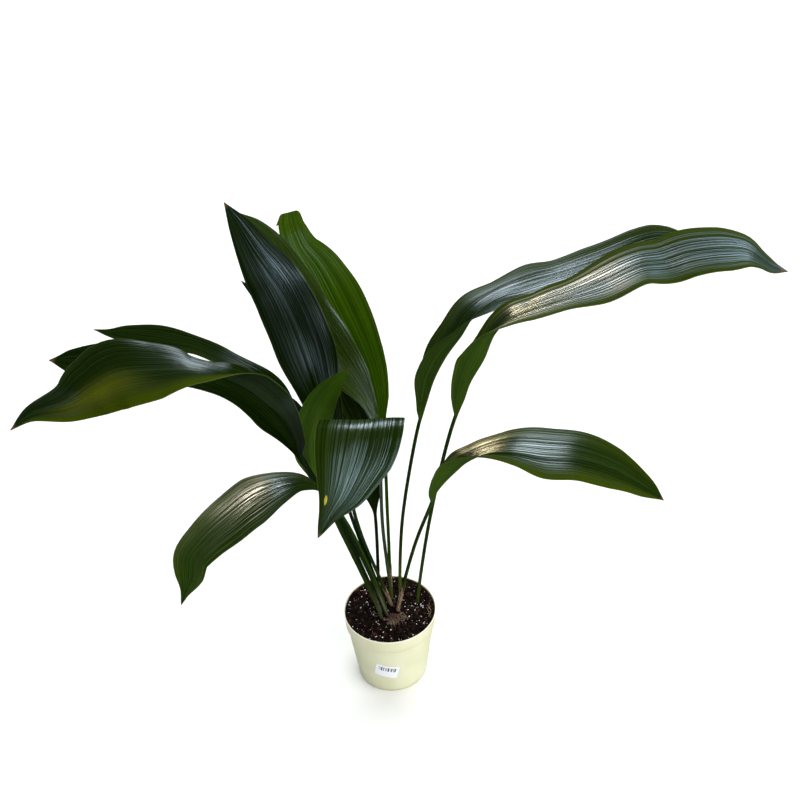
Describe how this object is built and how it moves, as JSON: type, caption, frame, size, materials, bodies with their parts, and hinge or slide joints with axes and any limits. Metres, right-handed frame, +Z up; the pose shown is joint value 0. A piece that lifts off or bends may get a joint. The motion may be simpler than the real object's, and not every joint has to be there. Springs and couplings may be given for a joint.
{
  "type": "potted cast iron plant",
  "caption": "Cast iron plant with long arching dark green blades on slender stalks, growing in peat mix in a tapered cream plastic nursery pot.",
  "frame": {"origin": "centre of the pot's base, on the surface that it stands on", "axes": "+Z up; -Y towards the plant's front as pictured; +X to the right seen from the front, along which the leaves spread widest"},
  "size_m": [0.8953, 0.4911, 0.7984],
  "materials": {
    "pot": "satin",
    "soil": "matte",
    "rhizome": "matte",
    "label": "satin",
    "leaf": "gloss"
  },
  "bodies": {
    "root": {"pot": "pot", "soil": "soil", "rhizome": "rhizome", "label": "label", "leaf_far_left": "leaf", "leaf_under_left": "leaf", "leaf_back_left": "leaf", "leaf_low_left": "leaf", "leaf_young_front": "leaf", "leaf_folded_front": "leaf", "leaf_tall_front": "leaf", "leaf_tall_middle": "leaf", "leaf_tall_hidden": "leaf", "leaf_tall_back": "leaf", "leaf_right_back": "leaf", "leaf_right_front": "leaf", "leaf_low_right": "leaf"}
  },
  "joints": []
}
